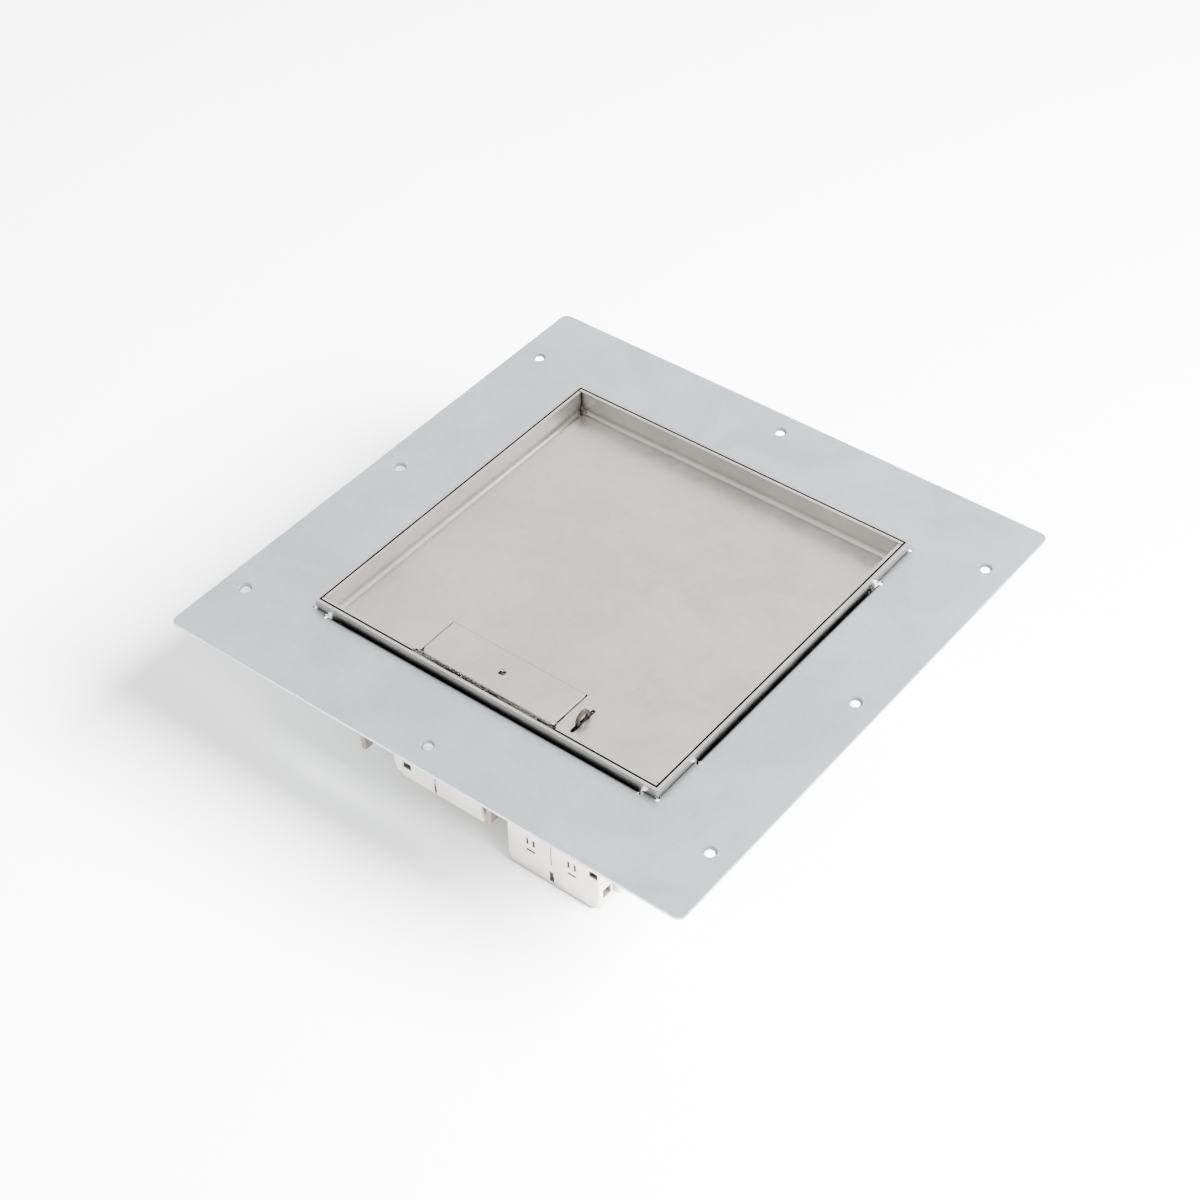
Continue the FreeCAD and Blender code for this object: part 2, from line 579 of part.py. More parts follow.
def frame_screws():
    """Screws, spacers and nuts that hold the frame in the collar, two to a side."""
    spans = {"south": ("XZ_Plane", "screw_x", 1), "north": ("XZ_Plane", "screw_x", -1),
             "east": ("YZ_Plane", "screw_y", 1), "west": ("YZ_Plane", "screw_y", -1)}
    kinds = (("frame_screws", "head_size / 2", flange_out, f"{flange_out} + head_high", ""),
             ("frame_spacers", "head_size / 2", frame_out, flange_in, "screw_bore / 2"),
             ("frame_nuts", "nut_size / 2", f"{frame_in} - nut_high", frame_in, "screw_bore / 2"))
    for kind, radius, near_end, far_end, bore in kinds:
        solids, holes = [], []
        for role, place, side in spans.values():
            for hand in (-1, 1):
                hexagonal = kind == "frame_nuts"
                solids.append(cross_rod(role, f"{hand} * {place}", side, near_end, far_end, radius, hexagonal))
                if bore:
                    holes.append(cross_rod(role, f"{hand} * {place}", side, near_end, far_end, bore))
                else:
                    tail = f"{frame_in} - nut_high - tail_out"
                    solids.append(cross_rod(role, f"{hand} * {place}", side, tail, far_end, "screw_shank / 2"))
        joined(kind, solids, [tool_group(holes)] if holes else [])


def tool_group(solids):
    group = doc.addObject("Part::MultiFuse", "tools")
    group.Shapes = solids
    return group


def cross_rod(role, place, side, near_end, far_end, radius, hexagonal=False):
    """A level cylinder at the frame screws' height, between two distances from the centre."""
    start = near_end if side > 0 else f"0 - ({far_end})"
    length = f"({far_end}) - ({near_end})"
    if role == "YZ_Plane":
        return rod(start, place, screw_z, radius, length, "x", hexagonal)
    start = near_end if side < 0 else f"0 - ({far_end})"
    return rod(place, start, screw_z, radius, length, "y", hexagonal)


def socket_carrier():
    """A plate with four round cut-outs, a cable way between them and a stiffening lip front and back."""
    body = new_body("socket_carrier")
    wide, deep = f"({frame_in} - hanger_wall - carrier_play)", f"({frame_in} - carrier_play)"
    sketch = new_sketch(body, "XY_Plane", carrier_under)
    oblong(sketch, f"0 - {wide}", wide, f"0 - {deep}", deep)
    pad(body, sketch, "carrier_wall")
    for side in (-1, 1):
        sketch = new_sketch(body, "YZ_Plane", f"0 - {hanger_y} + hanger_wide")
        oblong(sketch, f"{side} * ({deep} - carrier_wall)", f"{side} * {deep}", carrier_under,
               f"{carrier_under} + carrier_lip")
        pad(body, sketch, f"2 * ({hanger_y} - hanger_wide)")
    sketch = new_sketch(body, "XY_Plane", carrier_top)
    half = cup_room
    for x in (-1, 1):
        for y in (-1, 1):
            place = unit_place(x, y)
            oblong(sketch, f"{place} - {half}", f"{place} + {half}", f"{y} * {unit_y} - {half}",
                   f"{y} * {unit_y} + {half}")
    oblong(sketch, "0 - way_long / 2", "way_long / 2", "0 - way_wide / 2", "way_wide / 2")
    cut(body, sketch)
    sketch = new_sketch(body, "XY_Plane", f"{carrier_top} + 1")
    for x in (-1, 1):
        for y in (-1, 1):
            circle(sketch, f"{x} * {foot_x}", f"{y} * {hanger_y}", "screw_bore / 2")
    cut(body, sketch, "carrier_wall + 2")


def unit_place(x, y):
    """Across position of a socket unit; the front and rear rows are shifted opposite ways."""
    return f"{x} * {unit_x} - {y} * row_shift"


def carrier_hangers():
    """Bent straps screwed to the frame's side walls; the carrier stands on their feet."""
    for name, x, y in (("south_west", -1, -1), ("south_east", 1, -1), ("north_west", -1, 1), ("north_east", 1, 1)):
        wall = frame_in if x > 0 else f"hanger_wall - {frame_in}"
        front, rear = f"{y} * {hanger_y} - hanger_wide / 2", f"{y} * {hanger_y} + hanger_wide / 2"
        foot_low, high = f"{carrier_under} - hanger_wall", f"{hanger_z} + hanger_head"
        strap = block(f"{wall} - hanger_wall", wall, front, rear, foot_low, high)
        reach = f"{frame_in} - hanger_foot" if x > 0 else f"0 - {frame_in}"
        foot = block(reach, f"{reach} + hanger_foot", front, rear, foot_low, carrier_under)
        holes = [rod(f"{wall} - 3 * hanger_wall", f"{y} * {hanger_y}", hanger_z, "screw_bore / 2", "6 * hanger_wall", "x"),
                 rod(f"{x} * {foot_x}", f"{y} * {hanger_y}", f"{foot_low} - 1", "screw_bore / 2", "3 * hanger_wall", "z")]
        joined("carrier_hanger_" + name, [strap, foot], holes)


def hanger_fasteners():
    screws, nuts, bores = [], [], []
    low = f"({carrier_under} - hanger_wall)"
    for x in (-1, 1):
        for y in (-1, 1):
            spot = f"{y} * {hanger_y}"
            head, nut = f"{frame_out}", f"({frame_in} - hanger_wall - nut_high)"
            tail = f"({nut} - tail_out)"
            ends = ((head, "head_high", "head_size / 2"), (tail, f"{head} - {tail}", "screw_shank / 2"))
            screws += [side_rod(x, spot, start, length, radius) for start, length, radius in ends]
            nuts.append(side_rod(x, spot, nut, "nut_high", "nut_size / 2", True))
            bores.append(side_rod(x, spot, nut, "nut_high", "screw_bore / 2"))
            across = f"{x} * {foot_x}"
            screws.append(rod(across, spot, f"{low} - head_high", "head_size / 2", "head_high", "z"))
            screws.append(rod(across, spot, low, "screw_shank / 2",
                              "hanger_wall + carrier_wall + nut_high + tail_out", "z"))
            nuts.append(rod(across, spot, carrier_top, "nut_size / 2", "nut_high", "z", True))
            bores.append(rod(across, spot, carrier_top, "screw_bore / 2", "nut_high", "z"))
    joined("hanger_screws", screws)
    joined("hanger_nuts", nuts, [tool_group(bores)])


def side_rod(side, y, start, length, radius, hexagonal=False):
    """A level bar along X that starts at a distance from the centre, on one side."""
    from_x = start if side > 0 else f"0 - ({start}) - ({length})"
    return rod(from_x, y, hanger_z, radius, length, "x", hexagonal)


def cable_clamps():
    """Strain relief straps under the carrier, each with a slot for a cable tie."""
    outer = f"({frame_in} - clamp_inset)"
    places = (("south_mid", "0 - clamp_in", -1), ("south_west", f"0 - {outer}", -1),
              ("north_mid", "clamp_in", 1), ("north_east", outer, 1))
    for name, x, y in places:
        left = f"{x} - clamp_wall / 2"
        front = f"{y} * ({frame_in} - carrier_play - clamp_wide / 2) - clamp_wide / 2"
        low = f"{carrier_under} - clamp_drop"
        leg = block(left, f"{left} + clamp_wall", front, f"{front} + clamp_wide", low, carrier_under)
        foot_left = left if y < 0 else f"{left} - clamp_foot + clamp_wall"
        foot = block(foot_left, f"{foot_left} + clamp_foot", front, f"{front} + clamp_wide",
                     f"{carrier_under} - clamp_wall", carrier_under)
        slot = block(f"{left} - 1", f"{left} + clamp_wall + 1", f"{front} + (clamp_wide - tie_wide) / 2",
                     f"{front} + (clamp_wide + tie_wide) / 2", f"{low} + tie_foot", f"{low} + tie_foot + tie_high")
        joined("cable_clamp_" + name, [leg, foot], [slot])


def place_unit(body, x, y):
    """Every unit has its nose outward, so those on the -X side are turned about."""
    turn = 0 if x > 0 else 180
    body.Placement = FreeCAD.Placement(Vector(), FreeCAD.Rotation(Vector(0, 0, 1), turn))
    bind(body, Placement__Base__x=unit_place(x, y), Placement__Base__y=f"{y} * {unit_y}",
         Placement__Base__z=carrier_under)


def socket_base(body, depth):
    """The moulded housing below the carrier, with a square well for the cup and wells for the sleeves."""
    half = "unit_wide / 2"
    sketch = new_sketch(body, "XY_Plane", f"0 - {depth}")
    oblong(sketch, "0 - unit_long / 2", "unit_long / 2", f"0 - {half}", half)
    pad(body, sketch, depth)
    box = body.Shape.BoundBox
    dress(body, "Fillet", "toe_round", lambda edge: near(edge.BoundBox.ZMax, box.ZMin)
          and near(edge.BoundBox.XMin, box.XMax))
    dress(body, "Fillet", "end_round", lambda edge: runs_along(edge, "z")
          and near(abs(edge.BoundBox.XMax), box.XMax))
    sketch = new_sketch(body, "XY_Plane")
    oblong(sketch, f"0 - {cup_room}", cup_room, f"0 - {cup_room}", cup_room)
    cut(body, sketch, "recess_deep + cup_wall + cup_play - face_high - carrier_wall")
    sketch = new_sketch(body, "XY_Plane")
    for side in (-1, 1):
        circle(sketch, f"{side} * pin_pitch / 2", "0", "sleeve_size / 2 + sleeve_play")
    cut(body, sketch, "recess_deep + cup_wall + sleeve_long + sleeve_play - face_high - carrier_wall")


def deep_base(body):
    """The deep housing: a nose at its outer end, two cable entries beside it and marks on the long faces."""
    socket_base(body, "socket_depth")
    sketch = new_sketch(body, "XY_Plane", "toe_round - socket_depth")
    oblong(sketch, "unit_long / 2 - 1", "unit_long / 2 + unit_nose", "0 - nose_half", "nose_half")
    pad(body, sketch, "socket_depth - toe_round")
    end = size("unit_long") / 2 + size("unit_nose")
    dress(body, "Fillet", "nose_round", lambda edge: runs_along(edge, "z") and near(edge.BoundBox.XMin, end))
    mould_marks(body)
    sketch = new_sketch(body, "YZ_Plane", "unit_long / 2")
    middle = "(unit_wide / 2 - end_round - entry_size / 2)"
    for side in (-1, 1):
        oblong(sketch, f"{side} * {middle} - entry_size / 2", f"{side} * {middle} + entry_size / 2",
               "entry_foot - socket_depth", "entry_foot + entry_size - socket_depth")
    cut(body, sketch, "2 * entry_size")
    side_recess(body, "unit_long / 2 - port_end", "port_wide", "0 - port_drop", "port_high", "2 * mark_deep")


def short_base(body):
    """The shallow housing: plain faces with a seam, its catch and one port."""
    socket_base(body, "short_depth")
    side_recess(body, "0 - mark_shift", "seam_wide", "0 - short_depth", "short_depth / 2", "mark_deep")
    side_recess(body, "0 - mark_shift", "catch_wide / 2", "catch_foot - short_depth", "port_high", "2 * mark_deep")
    side_recess(body, "0 - unit_long / 3", "port_wide", "0 - port_drop", "port_high", "2 * mark_deep")


def side_recess(body, middle, wide, low, high, deep):
    """The same small recess in both long faces; the two are turned about the unit's middle."""
    for side in (1, -1):
        sketch = new_sketch(body, "XZ_Plane", f"{side} * unit_wide / 2")
        oblong(sketch, f"{side} * ({middle}) - ({wide}) / 2", f"{side} * ({middle}) + ({wide}) / 2", low,
               f"{low} + {high}")
        cut(body, sketch, deep, back=side < 0)


def mould_marks(body):
    """Seam, catch, and two upright marks over a level one on each half."""
    side_recess(body, "0 - mark_shift", "seam_wide", "0 - seam_step - socket_depth / 2", "socket_depth / 2", "seam_deep")
    side_recess(body, "0 - mark_shift", "catch_wide", "catch_foot - socket_depth", "catch_high", "mark_deep")
    for place in ("0 - mark_shift - mark_step / 2", "mark_step / 2 - mark_shift"):
        for shift in ("0 - mark_gap / 2", "mark_gap / 2"):
            side_recess(body, f"{place} + {shift}", "mark_wide", "0 - mark_drop - mark_high", "mark_high", "mark_deep")
        side_recess(body, place, "mark_gap + mark_wide", "0 - mark_drop - 2 * mark_high", "mark_wide", "mark_deep")


def socket_face(body):
    """The face above the carrier, with the round recess, its pin holes and the earth clip slots."""
    sketch = new_sketch(body, "XY_Plane", "carrier_wall")
    oblong(sketch, "0 - face_long / 2", "face_long / 2", "0 - face_wide / 2", "face_wide / 2")
    pad(body, sketch, "face_high")
    dress(body, "Fillet", "face_corner", lambda edge: runs_along(edge, "z"))
    top = body.Shape.BoundBox.ZMax
    dress(body, "Chamfer", "face_edge", lambda edge: near(edge.BoundBox.ZMin, top))
    sketch = new_sketch(body, "XY_Plane", cup_floor)
    circle(sketch, "0", "0", "recess_size / 2 + cup_wall")
    pad(body, sketch, "recess_deep + cup_wall - face_high / 2")
    sketch = new_sketch(body, "XY_Plane", "carrier_wall + face_high")
    circle(sketch, "0", "0", "recess_size / 2")
    cut(body, sketch, "recess_deep")
    sketch = new_sketch(body, "XY_Plane", "carrier_wall + face_high")
    for side in (-1, 1):
        circle(sketch, f"{side} * pin_pitch / 2", "0", "pin_bore / 2")
        oblong(sketch, "0 - clip_wide / 2 - clip_wall / 2", "clip_wide / 2 + clip_wall / 2",
               f"{side} * (recess_size / 2 - 3 * clip_wall)", f"{side} * (recess_size / 2 + cup_wall / 2)")
    circle(sketch, "0", "0", "mid_screw / 2")
    cut(body, sketch)


def pin_sleeves(body):
    """Brass contact sleeves under the two pin holes."""
    sketch = new_sketch(body, "XY_Plane", f"{cup_floor} - sleeve_long")
    for side in (-1, 1):
        circle(sketch, f"{side} * pin_pitch / 2", "0", "sleeve_size / 2")
        circle(sketch, f"{side} * pin_pitch / 2", "0", "pin_bore / 2")
    pad(body, sketch, "sleeve_long")


def earth_clip(body):
    """Two spring arms that stand in the recess at its sides."""
    low, upper = f"{cup_floor} + clip_play", "carrier_wall + face_high - recess_deep / 4"
    for side in (-1, 1):
        sketch = new_sketch(body, "YZ_Plane", "0 - clip_wide / 2")
        inner, outer = f"{side} * (recess_size / 2 - 2.5 * clip_wall)", f"{side} * (recess_size / 2 - 1.5 * clip_wall)"
        polygon(sketch, [(inner, low), (inner, f"{upper} - clip_bend"), (f"{side} * (recess_size / 2 - clip_wall / 2)", upper),
                         (f"{side} * (recess_size / 2 + cup_wall / 2)", upper),
                         (outer, f"{upper} - clip_bend"), (outer, low)])
        pad(body, sketch, "clip_wide")


def middle_screw(body):
    """The screw that draws the face and the base together through the carrier."""
    sketch = new_sketch(body, "XY_Plane", f"{cup_floor} + cup_wall")
    circle(sketch, "0", "0", "mid_head / 2")
    pad(body, sketch, "mid_high")
    sketch = new_sketch(body, "XY_Plane", cup_floor)
    circle(sketch, "0", "0", "mid_screw / 2 - pin_play")
    pad(body, sketch, "cup_wall")
    dress(body, "Chamfer", "mid_edge", lambda edge: near(edge.BoundBox.ZMin, body.Shape.BoundBox.ZMax))


def socket_units():
    builders = {"socket_base": deep_base, "socket_face": socket_face, "pin_sleeves": pin_sleeves,
                "earth_clip": earth_clip, "face_screw": middle_screw}
    corners = (("south_east", 1, -1), ("south_west", -1, -1), ("north_east", 1, 1), ("north_west", -1, 1))
    for corner, x, y in corners:
        builders["socket_base"] = short_base if x == y else deep_base
        for kind, shape in builders.items():
            body = new_body(f"{kind}_{corner}")
            shape(body)
            place_unit(body, x, y)
            doc.recompute()


def earth_tag():
    """A blade welded inside the frame for the protective earth wire."""
    low = f"{frame_low} + tag_foot"
    plate = block("0 - tag_wide / 2", "tag_wide / 2", f"{frame_in} - tag_wall", frame_in, low, f"{low} + tag_wide")
    blade = block("0 - tag_wide / 2", "tag_wide / 2", f"{frame_in} - tag_long", frame_in, low, f"{low} + tag_wall")
    hole = rod("0", f"{frame_in} - tag_long + tag_inset", f"{low} - 1", "tag_bore / 2", "tag_wall + 2", "z")
    joined("earth_tag", [plate, blade], [hole])


def build():
    for make in (mounting_plate, lid_frame, lid_tray, pivot_studs, cable_flap, flap_stop, flap_hinge,
                 flap_spring, lid_latch, latch_guides, lid_supports, frame_screws, socket_carrier,
                 carrier_hangers, hanger_fasteners, cable_clamps, socket_units, earth_tag):
        make()
    doc.recompute()


def write():
    for thing in doc.Objects:
        if "Invalid" in thing.State or "Error" in thing.State:
            raise RuntimeError("%s failed to build" % thing.Label)
    for thing in finished:
        if thing.Shape.isNull() or not thing.Shape.isValid():
            raise RuntimeError("%s has no valid shape" % thing.Label)
    os.makedirs("parts", exist_ok=True)
    for thing in finished:
        thing.Shape.exportStep("parts/%s.step" % thing.Label)
        box = thing.Shape.BoundBox
        print("%-28s %2d solid(s) %9.1f mm3  z %6.1f to %6.1f" % (
            thing.Label, len(thing.Shape.Solids), thing.Shape.Volume, box.ZMin, box.ZMax))
    print(len(finished), "nodes")


build()
write()
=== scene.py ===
import json
import math

import bpy
from mathutils import Matrix, Vector


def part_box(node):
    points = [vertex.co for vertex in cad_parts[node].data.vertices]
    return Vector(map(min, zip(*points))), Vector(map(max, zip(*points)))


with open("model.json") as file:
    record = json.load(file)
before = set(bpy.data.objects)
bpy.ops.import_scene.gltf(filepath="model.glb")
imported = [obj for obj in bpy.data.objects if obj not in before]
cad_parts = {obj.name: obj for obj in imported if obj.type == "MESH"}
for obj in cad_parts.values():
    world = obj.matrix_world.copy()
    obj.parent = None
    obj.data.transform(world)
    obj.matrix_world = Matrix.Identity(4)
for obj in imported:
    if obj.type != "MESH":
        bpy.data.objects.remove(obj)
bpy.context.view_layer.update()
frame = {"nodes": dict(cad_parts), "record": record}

# Floor socket box: looks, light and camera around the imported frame.
# Lengths are in metres, in the frame of the CAD model. Pattern sizes are in millimetres.

mm = 0.001
nodes = frame["nodes"]
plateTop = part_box("mounting_plate")[1].z


# sRGB hex text as a linear colour
def tint(hexText):
    channels = [int(hexText[i:i + 2], 16) / 255 for i in (1, 3, 5)]
    return [c / 12.92 if c <= 0.04045 else ((c + 0.055) / 1.055) ** 2.4 for c in channels] + [1]


# values are set on the node's sockets, and links feed them from other nodes' outputs
def addNode(tree, kind, values=None, links=None, **settings):
    node = tree.nodes.new(kind)
    for name, value in settings.items():
        setattr(node, name, value)
    for name, value in (values or {}).items():
        node.inputs[name].default_value = value
    for name, source in (links or {}).items():
        tree.links.new(source, node.inputs[name])
    return node


# an output is linked to the socket, and a plain value is set on it
def feed(tree, socket, value):
    if hasattr(value, "is_linked"):
        tree.links.new(value, socket)
    else:
        socket.default_value = value


def newMaterial(name):
    material = bpy.data.materials.new(name)
    material.use_nodes = True
    tree = material.node_tree
    tree.nodes.clear()
    out = addNode(tree, "ShaderNodeOutputMaterial")
    shader = addNode(tree, "ShaderNodeBsdfPrincipled")
    tree.links.new(shader.outputs["BSDF"], out.inputs["Surface"])
    return material, tree, shader


# noise that repeats at about sizeMm, stretched along the axes given
def noise(tree, place, sizeMm, detail=3, rough=0.5, stretch=(1, 1, 1), warp=0):
    spread = addNode(tree, "ShaderNodeMapping", {"Scale": [1 / s for s in stretch]}, {"Vector": place})
    return addNode(tree, "ShaderNodeTexNoise",
                   {"Scale": 1000 / sizeMm, "Detail": detail, "Roughness": rough, "Distortion": warp},
                   {"Vector": spread.outputs[0]}).outputs["Fac"]


# low..high in the source becomes start..end, clamped
def ramp(tree, source, low, high, start, end):
    node = addNode(tree, "ShaderNodeMapRange", links={"Value": source})
    for socket, value in zip(("From Min", "From Max", "To Min", "To Max"), (low, high, start, end)):
        node.inputs[socket].default_value = value
    return node.outputs["Result"]


def addMath(tree, operation, *values):
    node = addNode(tree, "ShaderNodeMath", operation=operation)
    for socket, value in zip(node.inputs, values):
        feed(tree, socket, value)
    return node.outputs[0]


# two patterns added, each with its share
def blend(tree, first, firstShare, second, secondShare):
    return addMath(tree, "ADD", addMath(tree, "MULTIPLY", first, firstShare),
                   addMath(tree, "MULTIPLY", second, secondShare))


def mixColour(tree, amount, first, second):
    node = addNode(tree, "ShaderNodeMix", data_type="RGBA")
    for index, value in ((0, amount), (6, first), (7, second)):
        feed(tree, node.inputs[index], value)
    return node.outputs[2]


# painted shade: darkens a colour towards a dark shade colour where surfaces within reach close in on it, in
# crevices, recesses and under parts
crevice = {"samples": 12, "closed": 0.25, "open": 0.97}


def shadeCrevices(tree, colour, reach, creviceShade):
    openness = addNode(tree, "ShaderNodeAmbientOcclusion", {"Distance": reach}, samples=crevice["samples"])
    share = ramp(tree, openness.outputs["AO"], crevice["closed"], crevice["open"], 0, 1)
    return mixColour(tree, share, creviceShade, colour)


# rolled sheet metal: a broad cloudy tone, a fine mottle and a rolling grain along one axis, then painted
# shade in crevices and on sideways faces
metal = {"creviceShade": "#2E2A26", "grain": 0.5, "grainStretch": 60, "roughSwing": 0.03, "relief": 0.05 * mm,
         "sideShadeFacing": (0.55, 0.96)}


def sheetMetal(name, pale, dark, rough, mottle, grainAxis, smudge, bump, reach=4 * mm, sideShadeTone=1.0):
    material, tree, shader = newMaterial(name)
    place = addNode(tree, "ShaderNodeTexCoord").outputs["Object"]
    stretch = (metal["grainStretch"], 1, 1) if grainAxis == "x" else (1, metal["grainStretch"], 1)
    cloud = noise(tree, place, smudge, detail=5, rough=0.6, warp=0.6)
    speck = noise(tree, place, mottle, detail=4, rough=0.65)
    grain = noise(tree, place, metal["grain"], detail=2, rough=0.5, stretch=stretch)
    share = blend(tree, ramp(tree, cloud, 0.36, 0.64, 0, 1), 0.6, ramp(tree, speck, 0.3, 0.7, 0, 1), 0.4)
    colour = mixColour(tree, share, tint(dark), tint(pale))
    # painted shade in crevices and recesses
    colour = shadeCrevices(tree, colour, reach, tint(metal["creviceShade"]))
    if sideShadeTone < 1:  # painted shade: cut edges and countersinks, which face sideways, are darkened
        normal = addNode(tree, "ShaderNodeTexCoord").outputs["Normal"]
        upward = addNode(tree, "ShaderNodeSeparateXYZ", links={0: normal}).outputs["Z"]
        level = addMath(tree, "ABSOLUTE", upward)
        shadedSide = [c * sideShadeTone for c in tint(dark)[:3]] + [1]
        colour = mixColour(tree, ramp(tree, level, *metal["sideShadeFacing"], 0, 1), shadedSide, colour)
    tree.links.new(colour, shader.inputs["Base Color"])
    swing = ramp(tree, speck, 0.3, 0.7, -metal["roughSwing"], metal["roughSwing"])
    tone = addMath(tree, "ADD", ramp(tree, cloud, 0.35, 0.65, *rough), swing)
    tree.links.new(tone, shader.inputs["Roughness"])
    shader.inputs["Metallic"].default_value = 1
    height = blend(tree, grain, 0.6, speck, 0.4)
    relief = addNode(tree, "ShaderNodeBump", {"Strength": bump, "Distance": metal["relief"]},
                     {"Height": height})
    tree.links.new(relief.outputs["Normal"], shader.inputs["Normal"])
    return material


# moulded plastic: an even colour with a faint flow pattern and a fine eroded texture, and painted shade in
# its recesses
plastic = {"creviceShade": "#4E443B", "flow": 25, "scatterTint": (1, 0.9, 0.75), "scatterDepth": 0.6 * mm,
           "relief": 0.03 * mm}


def mouldedPlastic(name, pale, dark, rough, grain, bump, scatter=0.0, reach=9 * mm):
    material, tree, shader = newMaterial(name)
    place = addNode(tree, "ShaderNodeTexCoord").outputs["Object"]
    flow = noise(tree, place, plastic["flow"], detail=3, rough=0.5, warp=0.8)
    fine = noise(tree, place, grain, detail=2, rough=0.6)
    colour = mixColour(tree, ramp(tree, flow, 0.35, 0.65, 0, 1), tint(dark), tint(pale))
    # painted shade in crevices and recesses
    colour = shadeCrevices(tree, colour, reach, tint(plastic["creviceShade"]))
    tree.links.new(colour, shader.inputs["Base Color"])
    tree.links.new(ramp(tree, fine, 0.3, 0.7, *rough), shader.inputs["Roughness"])
    shader.inputs["Subsurface Weight"].default_value = scatter
    shader.inputs["Subsurface Radius"].default_value = plastic["scatterTint"]
    shader.inputs["Subsurface Scale"].default_value = plastic["scatterDepth"]
    relief = addNode(tree, "ShaderNodeBump", {"Strength": bump, "Distance": plastic["relief"]},
                     {"Height": fine})
    tree.links.new(relief.outputs["Normal"], shader.inputs["Normal"])
    return material


print("materials")
# pale tone, dark tone, roughness range, mottle, grain axis, smudge size and bump,
# then the reach of the painted crevice shade and the tone of the painted shade on sideways faces where they
# aren't the usual ones
metals = {
    "zinc_plated_sheet": ("#D3DADC", "#BCC4C6", (0.34, 0.46), 2.2, "x", 45, 0.10, 4 * mm, 0.42),
    # the zinc sheet again, with painted shade reaching 70 mm for the shaded inside of the box
    "zinc_plated_carrier": ("#D3DADC", "#BCC4C6", (0.34, 0.46), 2.2, "x", 45, 0.10, 70 * mm),
    "stainless_sheet": ("#D2CFCB", "#BDBAB5", (0.26, 0.40), 5, "y", 38, 0.07),
    "fastener_zinc": ("#CFD2D3", "#AEB3B5", (0.28, 0.40), 1.2, "x", 6, 0.10),
    "nickel_spring_steel": ("#C8C6C0", "#AAA79F", (0.22, 0.32), 1.0, "y", 5, 0.08),
    "darkened_stainless": ("#7C766F", "#48433E", (0.34, 0.46), 1.0, "y", 5, 0.08),
    "brass_sheet": ("#D9BC77", "#B8954F", (0.24, 0.36), 1.0, "y", 5, 0.08),
}
# pale tone, dark tone, roughness range, grain, bump and scatter, then the reach of the painted crevice shade
# where it isn't the usual one
plastics = {
    "unit_housing_plastic": ("#D1CEC7", "#C8C4BD", (0.42, 0.52), 0.25, 0.25, 0.15),
    # painted shade reaching 70 mm darkens the socket faces inside the box
    "socket_face_plastic": ("#ECEAE6", "#E5E3DE", (0.22, 0.30), 0.3, 0.10, 0.15, 70 * mm),
    "clamp_polyamide": ("#786E64", "#6A6057", (0.45, 0.58), 0.3, 0.3, 0.05),
}
finishes = {name: sheetMetal(name, *look) for name, look in metals.items()}
finishes.update({name: mouldedPlastic(name, *look) for name, look in plastics.items()})

# finish and edge softness of each slot
slotLooks = {
    "zinc_steel": ("zinc_plated_sheet", 0.12 * mm),
    "stainless": ("stainless_sheet", 0.12 * mm),
    "fastener": ("fastener_zinc", 0.15 * mm),
    "spring_steel": ("nickel_spring_steel", 0.08 * mm),
    "ring_steel": ("darkened_stainless", 0.15 * mm),
    "brass": ("brass_sheet", 0.08 * mm),
    "unit_plastic": ("unit_housing_plastic", 0.3 * mm),
    "face_plastic": ("socket_face_plastic", 0.25 * mm),
    "dark_plastic": ("clamp_polyamide", 0.3 * mm),
}
soften = {"weld": 0.002 * mm, "angle": 35, "segments": 2}


# modifiers soften the sharp edges, and the mesh stays as packed
def dressNode(node, material, edge):
    node.data.materials.clear()
    node.data.materials.append(material)
    weld = node.modifiers.new("weld", "WELD")
    weld.merge_threshold = soften["weld"]
    soft = node.modifiers.new("edge", "BEVEL")
    soft.limit_method = "ANGLE"
    soft.angle_limit = math.radians(soften["angle"])
    soft.width = edge
    soft.segments = soften["segments"]
    soft.use_clamp_overlap = True
    soft.harden_normals = True


print("finishes on the frame")
for subpart in frame["record"]["subparts"]:
    nodeName = subpart["node"]
    finish, edge = slotLooks[subpart["material_slot"]]
    if nodeName == "socket_carrier" or nodeName.startswith("carrier_hanger"):
        finish = "zinc_plated_carrier"  # the sheet inside the box, with painted crevice shade reaching to surfaces further off
    dressNode(nodes[nodeName], finishes[finish], edge)


# a wide seamless floor under the box
floorLook = {"size": 12, "dark": "#F7F7F7", "pale": "#FAFAFA", "patch": 400, "rough": 0.9, "shine": 0.1}


def paleFloor():
    bpy.ops.object.select_all(action="DESELECT")
    bpy.ops.mesh.primitive_plane_add(size=floorLook["size"], location=(0, 0, 0))
    floor = bpy.context.object
    floor.name = "studio_floor"
    material, tree, shader = newMaterial("studio_floor_paint")
    place = addNode(tree, "ShaderNodeTexCoord").outputs["Object"]
    patches = ramp(tree, noise(tree, place, floorLook["patch"], detail=2), 0.3, 0.7, 0, 1)
    colour = mixColour(tree, patches, tint(floorLook["dark"]), tint(floorLook["pale"]))
    tree.links.new(colour, shader.inputs["Base Color"])
    shader.inputs["Roughness"].default_value = floorLook["rough"]
    shader.inputs["Specular IOR Level"].default_value = floorLook["shine"]
    floor.data.materials.append(material)


# soft light all round, brighter towards one side
sky = {"strength": 2.05, "towards": (0.78, 0.63, 0), "reach": 0.5, "dim": 0.72, "bright": 1.28}


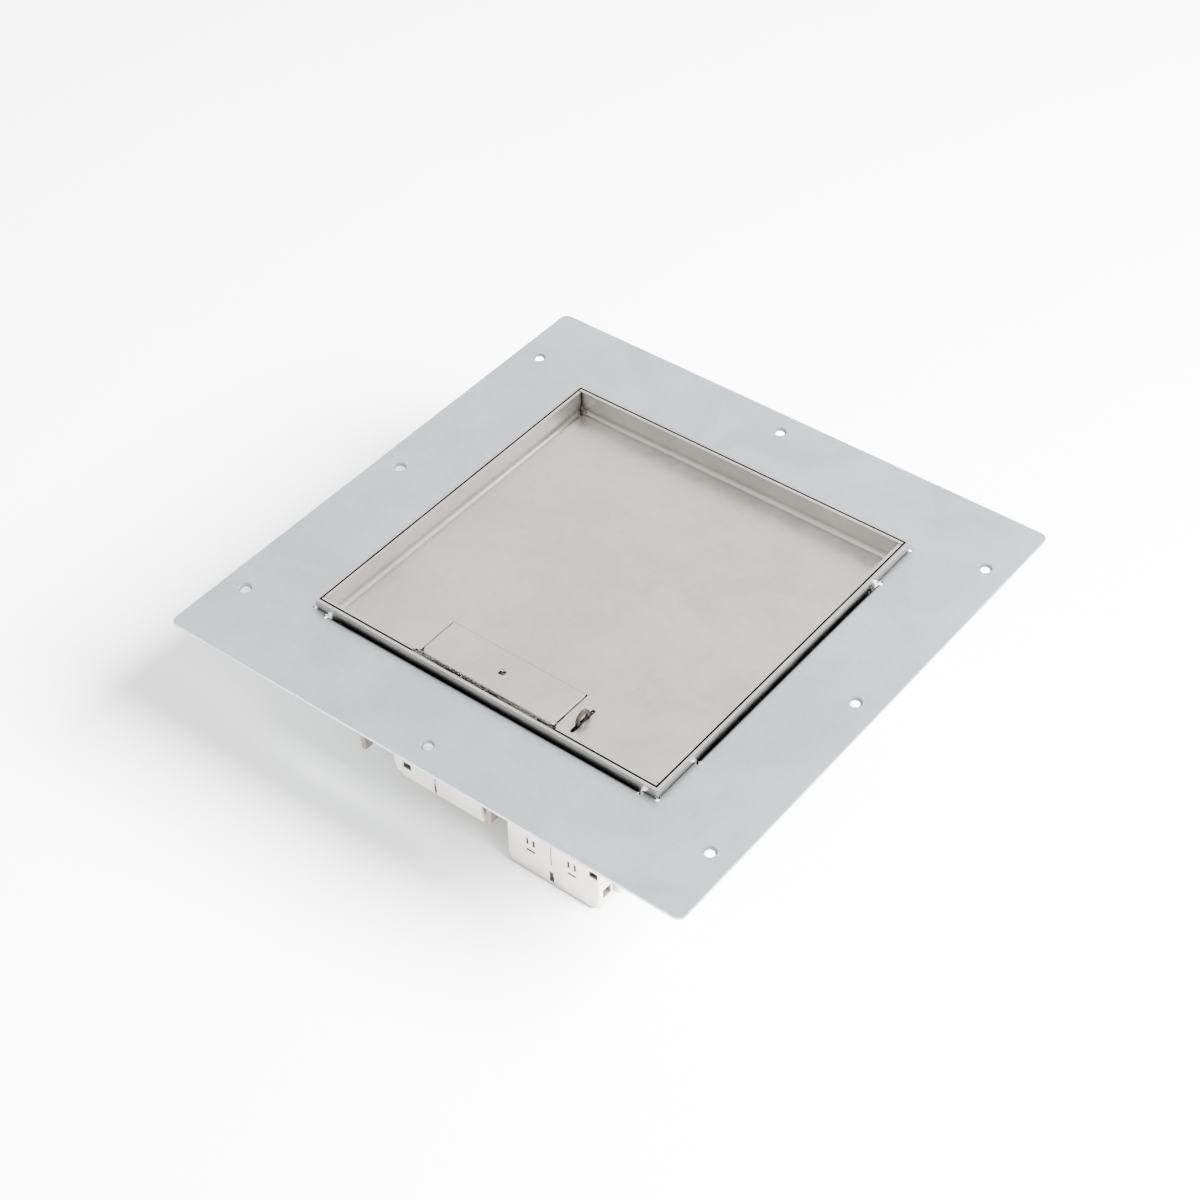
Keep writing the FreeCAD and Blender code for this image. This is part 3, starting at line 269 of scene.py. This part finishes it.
def openSky():
    world = bpy.data.worlds.new("studio_air")
    world.use_nodes = True
    tree = world.node_tree
    tree.nodes.clear()
    out = addNode(tree, "ShaderNodeOutputWorld")
    place = addNode(tree, "ShaderNodeTexCoord").outputs["Generated"]
    across = addNode(tree, "ShaderNodeVectorMath", {1: sky["towards"]}, {0: place}, operation="DOT_PRODUCT")
    level = ramp(tree, across.outputs["Value"], -sky["reach"], sky["reach"],
                 sky["dim"] * sky["strength"], sky["bright"] * sky["strength"])
    light = addNode(tree, "ShaderNodeBackground", {"Color": tint("#FFFFFF")}, {"Strength": level})
    tree.links.new(light.outputs[0], out.inputs["Surface"])
    bpy.context.scene.world = world


# square soft lights that look at the middle of the plate, and whether metal mirrors them
lamps = {
    "key_light": {"direction": (1.0, 0.08, 0.92), "distance": 1.9, "size": 1.1,
                  "power": 700, "mirrored": False},
    "sheen_light": {"direction": (0.30, 0.85, 0.55), "distance": 2.1, "size": 1.3,
                    "power": 14, "mirrored": True},
}


def areaLight(name, direction, distance, size, power, mirrored):
    target = Vector((0, 0, plateTop))
    place = target + Vector(direction).normalized() * distance
    bpy.ops.object.light_add(type="AREA", location=place)
    lamp = bpy.context.object
    lamp.name = name
    lamp.data.shape = "SQUARE"
    lamp.data.size = size
    lamp.data.energy = power
    lamp.visible_glossy = mirrored
    lamp.rotation_euler = (target - place).to_track_quat("-Z", "Y").to_euler()


# looks down at the plate from the outlet's right-hand side, angles in degrees
view = {"azimuth": 38.825, "elevation": 43.3528, "roll": -1.2887, "distance": 1.18422,
        "across": -0.00744, "upward": -0.01056, "lens": 74.183, "sensor": 36, "farEnd": 50}


def placeCamera():
    azimuth, elevation, roll = (math.radians(view[k]) for k in ("azimuth", "elevation", "roll"))
    back = Vector((math.sin(azimuth) * math.cos(elevation), -math.cos(azimuth) * math.cos(elevation),
                   math.sin(elevation)))
    level = Vector((math.cos(azimuth), math.sin(azimuth), 0))
    rise = back.cross(level)
    right = level * math.cos(roll) + rise * math.sin(roll)
    up = rise * math.cos(roll) - level * math.sin(roll)
    place = Vector((0, 0, plateTop)) + back * view["distance"] + right * view["across"] + up * view["upward"]
    bpy.ops.object.camera_add(location=place)
    camera = bpy.context.object
    camera.name = "studio_camera"
    camera.data.lens = view["lens"]
    camera.data.sensor_width = view["sensor"]
    camera.data.clip_end = view["farEnd"]
    turn = Matrix((right, up, back)).transposed()
    camera.matrix_world = Matrix.Translation(place) @ turn.to_4x4()
    bpy.context.scene.camera = camera


print("stage")
paleFloor()
openSky()
for name, lamp in lamps.items():
    areaLight(name, **lamp)
placeCamera()
